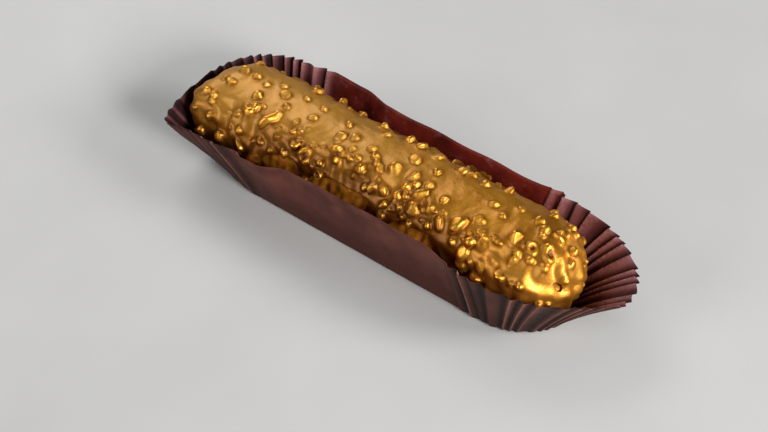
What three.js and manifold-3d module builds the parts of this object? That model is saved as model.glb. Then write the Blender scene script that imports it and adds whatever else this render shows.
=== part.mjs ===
// A nut-glazed eclair in its pleated paper case. Millimetres, +Z up, +X along the eclair, -Y the near side.
// The baked bun lies in the case, the glaze lies over the bun, and the chopped nuts are fused to the glaze.
import * as THREE from "three";
import * as BufferGeometryUtils from "three/addons/utils/BufferGeometryUtils.js";
import Module from "manifold-3d";

const wasm = await Module();
wasm.setup();

// Paper case: a flat floor with round ends, and one strip of paper folded up all round it.
// The lengths of its ends are given for the near and the far side, as both differ.
const paperThickness = 0.35;
const floorLeft = -73;
const floorRight = 59;
const floorHalfWidth = 16.5;
const floorLeftEnds = [28, 18];
const floorRightEnds = [19, 16.5];
const wallSlant = 24.5;
const rimLeft = -78.5;
const rimRight = 77.5;
const rimLeftEnds = [28, 24];
const rimRightEnds = [38, 30];
const rimHalfWidth = 20;
// Curve of the ends in plan: 2 is an ellipse, more is squarer
const floorLeftPowers = [2, 2.3];
const floorRightPowers = [1.9, 2.1];
const rimLeftPowers = [3.4, 2];
const rimRightPowers = [2, 2.4];
// Waves of the long rims: how far out each goes, and between which places along x it rises
const nearRimInset = 0.4;
const nearRimBulges = [
  [3.6, -30, -40],
  [-3.4, -46, -60],
  [3.2, 18, 40],
];
const farRimInset = -0.7;
const farRimBulges = [
  [3.1, -23, -35],
  [-2.2, -46, -56],
];
// The near left corner is pulled out into a blunt point, and the near right one pressed in.
// Each has its size, its place round the end and its reach.
const nearLeftCorner = [5.4, 0.67, 0.14];
const cornerSideways = 0.8;
const nearRightTuck = [3.4, 0.36, 0.15];
const tuckSideways = 0.4;
const pleatsPerEnd = 21;
const pleatDepthAtRim = 1.6;
const pleatDepthAtFloor = 0.8;
// The wall is a little hollow, but for the left end, where the eclair presses it out
const wallHollow = 0.04;
const leftEndBelly = 0.16;

// Eclair: sizes over the glaze, and how far the bun and the glaze's inside lie below them
const eclairLeft = -74.9;
const eclairRight = 62;
const eclairHalfWidth = 15.4;
const eclairMiddleY = 0.4;
const eclairTop = 29.3;
const eclairBottom = 0.65;
const leftEndLength = 13;
const rightEndLength = 18;
const sectionPower = 2.25;
const leftEndPowers = [3.6, 2.1];
const rightEndPower = 2.3;
const leftEndLean = 0.28;
const leftEndSkew = 0.27;
const rightEndSkew = 0.19;
const leftEndZone = [-50, -75];
const rightEndZone = [30, 60];
const undersidePress = 1.07;
const undersideAngle = 166;
const gap = 0.35;
// Soft waves of the loaf, each with its height, how fast it turns along x and where it starts
const broadWave = [0.3, 0.11, 12];
const shortWave = [0.2, 0.23, 17];
const shortWaveLean = 4;
const twistWave = [0.15, 0.37];
const twistTurns = 3;
const waveRise = 0.5;

// Glaze, with the angles from the ridge at which it ends, in degrees
const glazeThickness = 1.5;
const nearGlazeEdge = 61;
const farGlazeEdge = 74;
const endGlazeEdge = 112;
const leftEdgeDrop = [-43, -55];
const rightEdgeDrop = [15, 33];
const nearEdgeWave = [4, 0.19, 2];
const farEdgeWave = [4, 0.19, 10];
const shortEdgeWave = [2, 0.47, 2];
const endEdgeWave = [4, 0.6];
// Drips: how much angle each adds, its place along x and its reach
const nearDrips = [
  [22, -29, 2.5],
  [18, 2, 4],
];
const farDrips = [[20, -20, 5]];

// Nut bits on the glaze
const nutCount = 130;
const largestNut = 1.9;
const smallestNut = 0.8;
const nutHeight = 0.75;
const nutSink = 0.9;
const nutSeed = 41;
const nutSpacing = 0.8;
const nutLumps = 0.16;
const nutLumpTurns = { along: 4, across: 5, up: 3, turned: 7 };
const nutSizeSpread = [0.85, 1.15];
const nutStretches = [0.75, 1.35];
const triesPerNut = 40;
const paperClearance = 1;
// The share of nuts on each side and end, counted up, and the bands of the glaze that they lie in
const nutParts = [
  ["near", 0.5],
  ["far", 0.65],
  ["right", 0.89],
  ["left", 1],
];
const nearNutBand = [0.03, 0.95];
const nutBand = [0.05, 0.9];
// The largest nuts: place along the side or round the end, share of the way down to the glaze's edge,
// radius and stretch
const largeNuts = {
  near: [
    [0.93, 0.76, 2.5, 1.1],
    [0.88, 0.55, 2.4, 0.9],
    [0.31, 0.62, 2.4, 1],
    [0.57, 0.16, 2.4, 1.2],
    [0.09, 0.74, 2.3, 1],
    [0.13, 0.92, 2.2, 1],
    [0.15, 0.45, 2, 1.7],
    [0.98, 0.16, 2, 1.1],
    [0.82, 0.47, 1.9, 0.9],
    [0.69, 0.4, 1.7, 1.5],
    [0.38, 0.9, 1.8, 1],
    [0.49, 0.5, 1.8, 1.3],
    [0.38, 0.3, 1.8, 1.2],
  ],
  right: [
    [0.37, 0.32, 2.5, 1.4],
    [0.83, 0.11, 2.2, 1],
    [0.62, 0.82, 2, 0.9],
    [0.79, 0.45, 2, 1],
    [0.02, 0.57, 2, 1],
  ],
  far: [
    [0.38, 0.63, 2, 1],
    [0.98, 0.06, 1.8, 1.2],
  ],
  left: [
    [0.08, 0.09, 2.3, 1],
    [0.94, 0.74, 1.8, 1],
  ],
};

// Steps of the meshes: along each side, round each end, and of the paper's points that nuts keep clear of
const caseSideSteps = 12;
const caseRises = [0, 1 / 3, 2 / 3, 1];
const loafSideSteps = 22;
const loafEndSteps = 12;
const clearanceSteps = 60;
const clearanceRises = 10;

const degree = Math.PI / 180;

// Random draws between 0 and 1, the same ones each time for a seed
const drawFactor = 1664525;
const drawStep = 1013904223;
const drawRange = 2 ** 32;

function seededRandom(seed) {
  let state = seed;
  return () => {
    state = (state * drawFactor + drawStep) % drawRange;
    return state / drawRange;
  };
}

function mix(a, b, t) {
  return a + (b - a) * t;
}

function smoothstep(low, high, value) {
  const t = Math.min(1, Math.max(0, (value - low) / (high - low)));
  return t * t * (3 - 2 * t);
}

// A bell-shaped bump
function bump(value, [height, middle, reach]) {
  return height * Math.exp(-(((value - middle) / reach) ** 2));
}

function wave([height, turning, start = 0], place) {
  return height * Math.sin((place + start) * turning);
}

function signedPower(value, power) {
  return Math.sign(value) * Math.abs(value) ** power;
}

// Stations run round a bar: near side to the right, right end, far side to the left, left end.
// Each has its place t along a side, or its angle round an end, counted from -Y.
function barStations(sideSteps, endSteps) {
  const stations = [];
  for (let i = 0; i < sideSteps; i++) {
    stations.push({ part: "near", t: i / sideSteps });
  }
  for (let i = 0; i < endSteps; i++) {
    stations.push({ part: "right", t: i / endSteps });
  }
  for (let i = 0; i < sideSteps; i++) {
    stations.push({ part: "far", t: i / sideSteps });
  }
  for (let i = 0; i < endSteps; i++) {
    stations.push({ part: "left", t: i / endSteps });
  }
  return stations;
}

// The plan point of a station on a bar with superelliptic ends. Each pair holds the near and the far value.
function barPoint(station, bar) {
  const { part, t } = station;
  const angle = (t - 0.5) * 180 * degree;
  const isFar = part === "far" || (part === "right" && t >= 0.5) || (part === "left" && t < 0.5);
  const side = isFar ? 1 : 0;
  const startX = bar.left + bar.leftEnds[side];
  const endX = bar.right - bar.rightEnds[side];
  const edge = isFar ? bar.halfWidths[1] : -bar.halfWidths[0];
  if (part === "near") {
    return [mix(startX, endX, t), edge];
  }
  if (part === "far") {
    return [mix(endX, startX, t), edge];
  }
  const power = 2 / (part === "right" ? bar.rightPowers[side] : bar.leftPowers[side]);
  const across = Math.abs(Math.sin(angle)) ** power;
  const along = Math.cos(angle) ** power;
  const x = part === "right" ? endX + bar.rightEnds[side] * along : startX - bar.leftEnds[side] * along;
  return [x, edge * across];
}

function meshGeometry(points, faces) {
  const geometry = new THREE.BufferGeometry();
  geometry.setAttribute("position", new THREE.Float32BufferAttribute(points.flat(), 3));
  geometry.setIndex(faces.flat());
  geometry.computeVertexNormals();
  return geometry;
}

// Faces between two rings of count points each, which start at these indices, seen from outside when
// the second ring lies above the first and both run anticlockwise from above
function ringBand(first, second, count) {
  const faces = [];
  for (let i = 0; i < count; i++) {
    const next = (i + 1) % count;
    faces.push([first + i, first + next, second + next]);
    faces.push([first + i, second + next, second + i]);
  }
  return faces;
}

// Closes a bar's ring with a ladder of faces between its near and far sides, facing up
function ladder(start, sideSteps, endSteps) {
  const faces = [];
  const count = 2 * (sideSteps + endSteps);
  const half = endSteps / 2;
  const rungs = sideSteps + endSteps;
  // Rung 0 is the point of the left end, and the last rung the point of the right end
  const nearOf = (rung) => start + ((rung - half + count) % count);
  const farOf = (rung) => start + ((count - half - rung + count) % count);
  for (let rung = 0; rung < rungs; rung++) {
    const [a, b, c, d] = [nearOf(rung), nearOf(rung + 1), farOf(rung + 1), farOf(rung)];
    if (a !== d) {
      faces.push([a, b, d]);
    }
    if (b !== c) {
      faces.push([b, c, d]);
    }
  }
  return faces;
}

function flipped(faces) {
  return faces.map(([a, b, c]) => [a, c, b]);
}

// Paper case

// How far a long rim goes out past its plain outline
function bulgeAt(x, inset, bulges) {
  return bulges.reduce((sum, [height, start, full]) => sum + height * smoothstep(start, full, x), -inset);
}

function rimBulge(station) {
  const nearStart = rimLeft + rimLeftEnds[0];
  const nearEnd = rimRight - rimRightEnds[0];
  const farStart = rimLeft + rimLeftEnds[1];
  const farEnd = rimRight - rimRightEnds[1];
  const nearBulge = (x) => bulgeAt(x, nearRimInset, nearRimBulges);
  const farBulge = (x) => bulgeAt(x, farRimInset, farRimBulges);
  if (station.part === "near") {
    return nearBulge(mix(nearStart, nearEnd, station.t));
  }
  if (station.part === "far") {
    return farBulge(mix(farEnd, farStart, station.t));
  }
  if (station.part === "right") {
    return mix(nearBulge(nearEnd), farBulge(farEnd), station.t);
  }
  return mix(farBulge(farStart), nearBulge(nearStart), station.t);
}

const floorBar = {
  left: floorLeft,
  right: floorRight,
  halfWidths: [floorHalfWidth, floorHalfWidth],
  leftEnds: floorLeftEnds,
  rightEnds: floorRightEnds,
  leftPowers: floorLeftPowers,
  rightPowers: floorRightPowers,
};

function rimPoint(station) {
  const bulge = rimBulge(station);
  const [x, y] = barPoint(station, {
    left: rimLeft,
    right: rimRight,
    halfWidths: [rimHalfWidth + bulge, rimHalfWidth + bulge],
    leftEnds: rimLeftEnds,
    rightEnds: rimRightEnds,
    leftPowers: rimLeftPowers,
    rightPowers: rimRightPowers,
  });
  const corner = station.part === "left" ? bump(station.t, nearLeftCorner) : 0;
  const tuck = station.part === "right" ? bump(station.t, nearRightTuck) : 0;
  return [x - cornerSideways * corner - tuckSideways * tuck, y - corner + tuck];
}

// The wall's point at a height fraction from floor to rim, on the paper's middle, with its pleat
function wallPoint(station, rise, pleatSide) {
  const [floorX, floorY] = barPoint(station, floorBar);
  const [rimX, rimY] = rimPoint(station);
  const reach = Math.hypot(rimX - floorX, rimY - floorY);
  const height = Math.sqrt(wallSlant ** 2 - reach ** 2);
  const outX = (rimX - floorX) / reach;
  const outY = (rimY - floorY) / reach;
  const belly = station.part === "left" ? leftEndBelly * Math.sin(Math.PI * station.t) : 0;
  const lean = rise + (belly - wallHollow) * Math.sin(Math.PI * rise);
  const depth = (mix(pleatDepthAtFloor, pleatDepthAtRim, rise) / 2) * pleatSide;
  return [floorX + outX * (reach * lean + depth), floorY + outY * (reach * lean + depth), height * rise];
}

function buildPaperCase() {
  const endSteps = 2 * pleatsPerEnd;
  const stations = barStations(caseSideSteps, endSteps);
  const count = stations.length;
  const points = [];
  const ring = (rise, inward, lift) => {
    for (const [i, station] of stations.entries()) {
      const isEnd = station.part === "left" || station.part === "right";
      const pleatSide = isEnd && station.t > 0 ? (i % 2 ? 1 : -1) : 0;
      const [x, y, z] = wallPoint(station, rise, pleatSide);
      const [outerX, outerY] = wallPoint(station, rise, pleatSide + 1);
      const length = Math.hypot(outerX - x, outerY - y);
      points.push([x - ((outerX - x) / length) * inward, y - ((outerY - y) / length) * inward, z + lift]);
    }
  };
  for (const rise of caseRises) {
    ring(rise, 0, 0);
  }
  for (const rise of caseRises) {
    ring(rise, paperThickness, rise === 0 ? paperThickness : 0);
  }
  const faces = [];
  const inner = caseRises.length * count;
  for (let k = 0; k + 1 < caseRises.length; k++) {
    faces.push(...ringBand(k * count, (k + 1) * count, count));
    faces.push(...flipped(ringBand(inner + k * count, inner + (k + 1) * count, count)));
  }
  const lastRing = (caseRises.length - 1) * count;
  faces.push(...ringBand(lastRing, inner + lastRing, count));
  faces.push(...flipped(ladder(0, caseSideSteps, endSteps)));
  faces.push(...ladder(inner, caseSideSteps, endSteps));
  return meshGeometry(points, faces);
}

// Eclair

// Soft unevenness of the baked bun, which the glaze follows
function unevenness(x, angle) {
  const sideways = wave(broadWave, x) + wave(shortWave, x + shortWaveLean * Math.sin(angle));
  const [height, turning] = twistWave;
  return sideways * Math.sin(angle) + height * Math.sin(x * turning + twistTurns * angle);
}

// A point of the eclair's surface: angle 0 is the ridge on top, 90 degrees the side, 180 the underside.
// depth is how far it lies below the glaze's plain surface. The underside is pressed flat.
function loafPoint(station, angle, depth) {
  const across = Math.abs(Math.sin(angle)) ** (2 / sectionPower);
  const up = signedPower(Math.cos(angle), 2 / sectionPower);
  const middleZ = (eclairTop + eclairBottom) / 2;
  const halfHeight = (eclairTop - eclairBottom) / 2;
  const width = (eclairHalfWidth - depth) * across;
  const leftEnd = (leftEndLength - depth) * across;
  const rightEnd = (rightEndLength - depth) * across;
  const [x, y] = barPoint(station, {
    left: eclairLeft + leftEndLength - leftEnd,
    right: eclairRight - rightEndLength + rightEnd,
    halfWidths: [width, width],
    leftEnds: [leftEnd, leftEnd],
    rightEnds: [rightEnd, rightEnd],
    leftPowers: leftEndPowers,
    rightPowers: [rightEndPower, rightEndPower],
  });
  const z = up > 0 ? middleZ + (halfHeight - depth) * up : middleZ + halfHeight * undersidePress * up;
  const atLeft = smoothstep(...leftEndZone, x);
  const atRight = smoothstep(...rightEndZone, x);
  const shift = atLeft * (leftEndSkew * y - leftEndLean * (z - middleZ)) - atRight * rightEndSkew * y;
  const swell = unevenness(x, angle);
  const spread = 1 + swell / eclairHalfWidth;
  return [x + shift, eclairMiddleY + y * spread, Math.max(eclairBottom, z + waveRise * swell * up)];
}

// Angle at which the glaze ends: high along both sides, far down round both ends, with drips between
function glazeEdge(station) {
  const [x] = loafPoint(station, 90 * degree, 0);
  const near = station.part === "near";
  const waves = wave(near ? nearEdgeWave : farEdgeWave, x) + wave(shortEdgeWave, x);
  const drips = (near ? nearDrips : farDrips).reduce((sum, drip) => sum + bump(x, drip), 0);
  const sideEdge = (near ? nearGlazeEdge : farGlazeEdge) + waves + drips;
  const endEdge = endGlazeEdge + wave(endEdgeWave, x);
  const towardsEnd = Math.max(smoothstep(...leftEdgeDrop, x), smoothstep(...rightEdgeDrop, x));
  return mix(sideEdge, endEdge, towardsEnd) * degree;
}

// Angles of the rings from the ridge to the glaze's edge, and from there on down to the underside.
// The bun and the glaze share the first ones, so their faces run side by side.
const glazeShares = [0.1, 0.25, 0.4, 0.55, 0.7, 0.85, 1];
const lowerShares = [0.12, 0.36, 0.6, 0.8, 1];

function glazeRing(station, share, depth) {
  return loafPoint(station, glazeEdge(station) * share, depth);
}

function buildBun() {
  const stations = barStations(loafSideSteps, loafEndSteps);
  const count = stations.length;
  const depth = glazeThickness + gap;
  const points = [];
  for (const share of [...lowerShares].reverse()) {
    for (const station of stations) {
      points.push(loafPoint(station, mix(glazeEdge(station), undersideAngle * degree, share), depth));
    }
  }
  for (const share of [...glazeShares].reverse()) {
    for (const station of stations) {
      points.push(glazeRing(station, share, depth));
    }
  }
  const rings = lowerShares.length + glazeShares.length;
  const faces = flipped(ladder(0, loafSideSteps, loafEndSteps));
  for (let k = 0; k + 1 < rings; k++) {
    faces.push(...ringBand(k * count, (k + 1) * count, count));
  }
  faces.push(...ladder((rings - 1) * count, loafSideSteps, loafEndSteps));
  return meshGeometry(points, faces);
}

function buildGlazeShell() {
  const stations = barStations(loafSideSteps, loafEndSteps);
  const count = stations.length;
  const shares = [...glazeShares].reverse();
  const points = [];
  for (const depth of [0, glazeThickness]) {
    for (const share of shares) {
      for (const station of stations) {
        points.push(glazeRing(station, share, depth));
      }
    }
  }
  const faces = [];
  const inner = shares.length * count;
  for (let k = 0; k + 1 < shares.length; k++) {
    faces.push(...ringBand(k * count, (k + 1) * count, count));
    faces.push(...flipped(ringBand(inner + k * count, inner + (k + 1) * count, count)));
  }
  faces.push(...ringBand(inner, 0, count));
  const lastRing = (shares.length - 1) * count;
  faces.push(...ladder(lastRing, loafSideSteps, loafEndSteps));
  faces.push(...flipped(ladder(inner + lastRing, loafSideSteps, loafEndSteps)));
  return meshGeometry(points, faces);
}

// Where a nut lies on the glaze, and which way it stands out
function nutSpot(part, t, share, size, stretch, turn) {
  const point = new THREE.Vector3(...glazeRing({ part, t }, share, 0));
  const below = new THREE.Vector3(...glazeRing({ part, t }, share, 1));
  return { point, outward: point.clone().sub(below).normalize(), size, stretch, turn };
}

// Chopped nuts under the glaze, the largest first. The rest lie at random places of the sides and ends,
// and those that would touch a larger one or the paper are drawn again.
function nutSpots(paperPoints) {
  const random = seededRandom(nutSeed);
  const spots = [];
  const place = (spot) => {
    const { point, size, stretch } = spot;
    const reach = size * (1 + nutLumps) * Math.max(stretch, 1);
    const isFree = spots.every((other) => other.point.distanceTo(point) > nutSpacing * (other.size + size));
    if (isFree && paperPoints.every((paper) => paper.distanceTo(point) > reach + paperClearance)) {
      spots.push(spot);
    }
  };
  for (const [part, nuts] of Object.entries(largeNuts)) {
    for (const [t, share, size, stretch] of nuts) {
      place(nutSpot(part, t, share, size, stretch, random() * Math.PI));
    }
  }
  for (let tries = 0; spots.length < nutCount && tries < triesPerNut * nutCount; tries++) {
    const size = mix(largestNut, smallestNut, spots.length / nutCount) * mix(...nutSizeSpread, random());
    const draw = random();
    const [part] = nutParts.find(([, limit]) => draw < limit);
    const t = random();
    const share = mix(...(part === "near" ? nearNutBand : nutBand), random());
    const stretch = mix(...nutStretches, random());
    place(nutSpot(part, t, share, size, stretch, random() * Math.PI));
  }
  return spots;
}

// One nut bit: a few-sided pebble with its underside sunk into the glaze
function nutGeometry({ point, outward, size, turn, stretch }) {
  const pebble = new THREE.IcosahedronGeometry(1, 0);
  const along = new THREE.Vector3(0, 0, 1).cross(outward).normalize();
  along.applyAxisAngle(outward, turn);
  const across = outward.clone().cross(along);
  const turns = nutLumpTurns;
  const position = pebble.attributes.position;
  for (let i = 0; i < position.count; i++) {
    const [a, b, c] = [position.getX(i), position.getY(i), position.getZ(i)];
    const alongWave = Math.sin(turns.along * a + turns.turned * turn);
    const acrossWave = Math.sin(turns.across * b + turns.up * c + turn);
    const lumpy = 1 + nutLumps * alongWave * acrossWave;
    const up = c > 0 ? c * size * nutHeight * lumpy : c * nutSink;
    const moved = point.clone();
    moved.addScaledVector(along, a * size * stretch * lumpy);
    moved.addScaledVector(across, (b * size * lumpy) / Math.sqrt(stretch));
    moved.addScaledVector(outward, up);
    position.setXYZ(i, moved.x, moved.y, moved.z);
  }
  return pebble;
}

function buildNutGlaze() {
  const paperPoints = [];
  for (const station of barStations(clearanceSteps, clearanceSteps)) {
    for (let k = 0; k <= clearanceRises; k++) {
      paperPoints.push(new THREE.Vector3(...wallPoint(station, k / clearanceRises, 0)));
    }
  }
  let solid = solidOf(buildGlazeShell());
  for (const spot of nutSpots(paperPoints)) {
    solid = solid.add(solidOf(nutGeometry(spot)));
  }
  return geometryOf(solid);
}

function solidOf(geometry) {
  const plain = geometry.clone();
  plain.deleteAttribute("normal");
  plain.deleteAttribute("uv");
  const merged = BufferGeometryUtils.mergeVertices(plain);
  return new wasm.Manifold(
    new wasm.Mesh({
      numProp: 3,
      vertProperties: new Float32Array(merged.attributes.position.array),
      triVerts: new Uint32Array(merged.index.array),
    }),
  );
}

function geometryOf(solid) {
  const mesh = solid.getMesh();
  const geometry = new THREE.BufferGeometry();
  geometry.setAttribute("position", new THREE.BufferAttribute(new Float32Array(mesh.vertProperties), 3));
  geometry.setIndex(new THREE.BufferAttribute(new Uint32Array(mesh.triVerts), 1));
  geometry.computeVertexNormals();
  return geometry;
}

function namedMesh(name, geometry, color, roughness, metalness) {
  const mesh = new THREE.Mesh(geometry, new THREE.MeshStandardMaterial({ color, roughness, metalness }));
  mesh.name = name;
  return mesh;
}

const eclair = new THREE.Group();
eclair.add(namedMesh("paper_case", buildPaperCase(), 0x4a2f2e, 0.75, 0));
eclair.add(namedMesh("choux_bun", buildBun(), 0xa4641c, 0.6, 0));
eclair.add(namedMesh("nut_glaze", buildNutGlaze(), 0xb58a3c, 0.35, 0.7));

// The origin is the middle of the box's bottom
const box = new THREE.Box3().setFromObject(eclair);
const middle = box.getCenter(new THREE.Vector3());
for (const mesh of eclair.children) {
  mesh.geometry.translate(-middle.x, -middle.y, -box.min.z);
}

export default eclair;
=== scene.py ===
import math
import bmesh
import bpy
import numpy as np
from mathutils import Color, Matrix, Vector
from mathutils.bvhtree import BVHTree


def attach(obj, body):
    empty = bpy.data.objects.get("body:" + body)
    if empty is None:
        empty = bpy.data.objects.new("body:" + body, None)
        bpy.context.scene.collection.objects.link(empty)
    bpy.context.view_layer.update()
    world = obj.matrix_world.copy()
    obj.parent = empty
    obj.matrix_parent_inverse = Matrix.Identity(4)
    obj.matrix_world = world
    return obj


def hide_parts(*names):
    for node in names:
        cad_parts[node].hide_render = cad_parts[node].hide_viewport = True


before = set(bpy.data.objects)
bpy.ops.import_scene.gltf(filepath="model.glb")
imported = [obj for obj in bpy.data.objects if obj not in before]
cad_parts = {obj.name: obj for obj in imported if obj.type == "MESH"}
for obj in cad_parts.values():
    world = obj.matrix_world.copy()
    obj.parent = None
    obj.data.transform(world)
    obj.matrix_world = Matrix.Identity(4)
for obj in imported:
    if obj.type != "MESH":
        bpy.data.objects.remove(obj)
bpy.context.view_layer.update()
mm = 0.001
tiny = 1e-6

# Shapes are worked out in millimetres, round a bar: near side, right end, far side, left end

nearSide, rightEnd, farSide, leftEnd = range(4)


def mix(a, b, t):
    return a + (b - a) * t


def smoothstep(low, high, value):
    t = np.clip((value - low) / (high - low), 0, 1)
    return t * t * (3 - 2 * t)


def unit(vectors):
    return vectors / np.maximum(np.linalg.norm(vectors, axis=-1, keepdims=True), tiny)


def bump(value, spec):  # spec is height, middle and reach
    height, middle, reach = spec
    return height * np.exp(-(((value - middle) / reach) ** 2))


def wave(spec, place):  # spec is height, how fast it turns and where it starts
    height, turning, start = spec
    return height * np.sin((place + start) * turning)


def field(points, seed, shortest, longest, waves=14):  # soft random unevenness, about -1 to 1
    random = np.random.RandomState(seed)
    directions = unit(random.normal(size=(waves, 3)))
    turning = directions * 2 * np.pi / random.uniform(shortest, longest, (waves, 1))
    return np.sin(points @ turning.T + random.uniform(0, 2 * np.pi, waves)).sum(1) / math.sqrt(waves)


drawFactor, drawStep, drawRange = 1664525, 1013904223, 2**32


def seededDraws(seed):  # gives a function that draws between 0 and 1, the same each time for a seed
    state = seed

    def draw():
        nonlocal state
        state = (state * drawFactor + drawStep) % drawRange
        return state / drawRange

    return draw


def barStations(sideSteps, endSteps):
    steps = (sideSteps, endSteps) * 2
    part = np.repeat((nearSide, rightEnd, farSide, leftEnd), steps)
    t = np.concatenate([np.arange(n) / n for n in steps])
    return part, t


def isSide(part):
    return (part == nearSide) | (part == farSide)


def barPoint(part, t, bar):  # a plan point on a bar with superelliptic ends; pairs are near and far
    part, t = np.broadcast_arrays(part, np.asarray(t, float))
    angle = (t - 0.5) * np.pi
    isFar = np.choose(part, (False, t >= 0.5, True, t < 0.5))

    def ofSide(pair):
        return np.where(isFar, pair[1], pair[0])

    startX = bar["left"] + ofSide(bar["leftEnds"])
    endX = bar["right"] - ofSide(bar["rightEnds"])
    edge = np.where(isFar, 1, -1) * ofSide(bar["halfWidths"])
    power = 2 / np.where(part == rightEnd, ofSide(bar["rightPowers"]), ofSide(bar["leftPowers"]))
    across = np.abs(np.sin(angle)) ** power
    along = np.abs(np.cos(angle)) ** power
    rightX = endX + ofSide(bar["rightEnds"]) * along
    leftX = startX - ofSide(bar["leftEnds"]) * along
    x = np.choose(part, (mix(startX, endX, t), rightX, mix(endX, startX, t), leftX))
    return x, np.where(isSide(part), edge, edge * across)


def ringBand(first, second, count):
    i = np.arange(count)
    j = (i + 1) % count
    return np.stack([first + i, first + j, second + j, second + i], 1).tolist()


def ringStack(first, rings, count):
    faces = []
    for k in range(rings - 1):
        faces += ringBand(first + k * count, first + (k + 1) * count, count)
    return faces


def ladder(start, sideSteps, endSteps):  # closes a ring of the bar with rungs across it, facing up
    count = 2 * (sideSteps + endSteps)
    half = endSteps // 2
    faces = []
    for rung in range(sideSteps + endSteps):
        near = [start + (rung + k - half) % count for k in (0, 1)]
        far = [start + (count - half - rung - k) % count for k in (0, 1)]
        corners = [near[0], near[1], far[1], far[0]]
        faces.append(list(dict.fromkeys(corners)))
    return faces


def flipped(faces):
    return [face[::-1] for face in faces]


def newObject(name, data):
    made = bpy.data.objects.new(name, data)
    bpy.context.scene.collection.objects.link(made)
    return made


def newPiece(name, points, faces):  # points in millimetres, already in the frame's place
    mesh = bpy.data.meshes.new(name)
    mesh.from_pydata((np.asarray(points) * mm).tolist(), [], faces)
    mesh.update()
    mesh.shade_smooth()
    return newObject(name, mesh)


def coordinates(mesh):
    values = np.empty(len(mesh.vertices) * 3)
    mesh.vertices.foreach_get("co", values)
    return values.reshape(-1, 3)


def setAttributes(mesh, **marks):
    for name, values in marks.items():
        attribute = mesh.attributes.new(name, "FLOAT", "POINT")
        attribute.data.foreach_set("value", np.asarray(values, np.float32))


# Paper case

caseShape = {
    "sheet": (0.1, 0.24),          # the paper's faces, counted in from the solid's outside
    "floor": {
        "left": -73, "right": 59, "halfWidths": (16.5, 16.5),
        "leftEnds": (28, 18), "rightEnds": (19, 16.5),
        "leftPowers": (2, 2.3), "rightPowers": (1.9, 2.1),
    },
    "rim": {
        "left": -78.5, "right": 77.5,
        "leftEnds": (28, 24), "rightEnds": (38, 30),
        "leftPowers": (3.4, 2), "rightPowers": (2, 2.4),
    },
    "rimHalfWidth": 20,
    "nearBulges": (0.4, [(3.6, -30, -40), (-3.4, -46, -60), (3.2, 18, 40)]),
    "farBulges": (-0.7, [(3.1, -23, -35), (-2.2, -46, -56)]),
    "nearLeftCorner": (5.4, 0.67, 0.14), "cornerSideways": 0.8,
    "nearRightTuck": (3.4, 0.36, 0.15), "tuckSideways": 0.4,
    "slant": 24.5, "hollow": 0.04, "leftEndBelly": 0.16,
    "pleatsPerEnd": 21, "pleatDepths": (1, 1.5),        # at the floor and at the rim
    "quickShare": 0.17,            # a pleat steps out quickly and comes back slowly
    "pleatSoftness": 0.12,
    "pleatStray": (0.27, 1.72),    # how far a fold strays, in pleats, and how fast that changes
    "leftStray": 0.12,             # folds of the left end stray less
    "leftInsideShade": (0.75, -50, -72),            # and their inside is painted darker, as shade: how much, from and to where along x
    "calmTip": (0.35, 0.22, 0.36, 0.8, 0.95),   # the left tip is less pleated: how much, then where
    "pleatSizes": (0.85, 0.2, 1.66, 2),         # usual size, how much it changes, how fast, from where
    "endFade": 0.03,               # pleats begin and end softly
    "sidePitch": 4.4,              # pleats that run on along the long walls
    "sideReaches": {(nearSide, 1): 13, (farSide, 0): 14, (farSide, 1): 9},
    "sideFade": (0.3, 0.6),        # full up to this share of the reach, from this place on
    "wallFade": 0.12,              # the long walls are plain next to the ends
    "crease": (0.015, -0.9, 0.012, 0.004),      # left end of the near wall: place, depth, reach, start
    "bigFold": (0.075, 2.2, 0.03, 0.012),       # on the far wall: place, depth, gentle and steep reach
    "buckle": 0.22, "buckleWaves": [(1, 0.17, 1), (0.6, 0.41, 2)],      # soft waves of the long walls
    "bowPower": 0.8,               # they are deepest a little below the middle
    "rimUneven": (0.25, 0.31, 5),
    "foldRadius": 0.05,            # rounding where the wall leaves the floor, as a share of its height
    "sideSteps": 260, "stepsPerPleat": 18, "rows": 20,
    "rowPower": 1.3,               # rows lie closer together near the floor
    "pleatedFrom": (0.05, 0.4), "dryFrom": (0.25, 0.7),
    "plainOutline": (12, 1.6),     # steps a side and pleat depth of the box that sets the origin
}


def bulgeAt(x, bulges):
    inset, steps = bulges
    return sum(height * smoothstep(start, full, x) for height, start, full in steps) - inset


def rimBulge(part, t):
    rim = caseShape["rim"]
    nearStart, farStart = (rim["left"] + length for length in rim["leftEnds"])
    nearEnd, farEnd = (rim["right"] - length for length in rim["rightEnds"])
    near, far = caseShape["nearBulges"], caseShape["farBulges"]
    return np.choose(part, (
        bulgeAt(mix(nearStart, nearEnd, t), near),
        mix(bulgeAt(nearEnd, near), bulgeAt(farEnd, far), t),
        bulgeAt(mix(farEnd, farStart, t), far),
        mix(bulgeAt(farStart, far), bulgeAt(nearStart, near), t),
    ))


def rimPoint(part, t):
    half = caseShape["rimHalfWidth"] + rimBulge(part, t)
    x, y = barPoint(part, t, {**caseShape["rim"], "halfWidths": (half, half)})
    corner = np.where(part == leftEnd, bump(t, caseShape["nearLeftCorner"]), 0)
    tuck = np.where(part == rightEnd, bump(t, caseShape["nearRightTuck"]), 0)
    sideways = caseShape["cornerSideways"] * corner + caseShape["tuckSideways"] * tuck
    return x - sideways, y - corner + tuck


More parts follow.
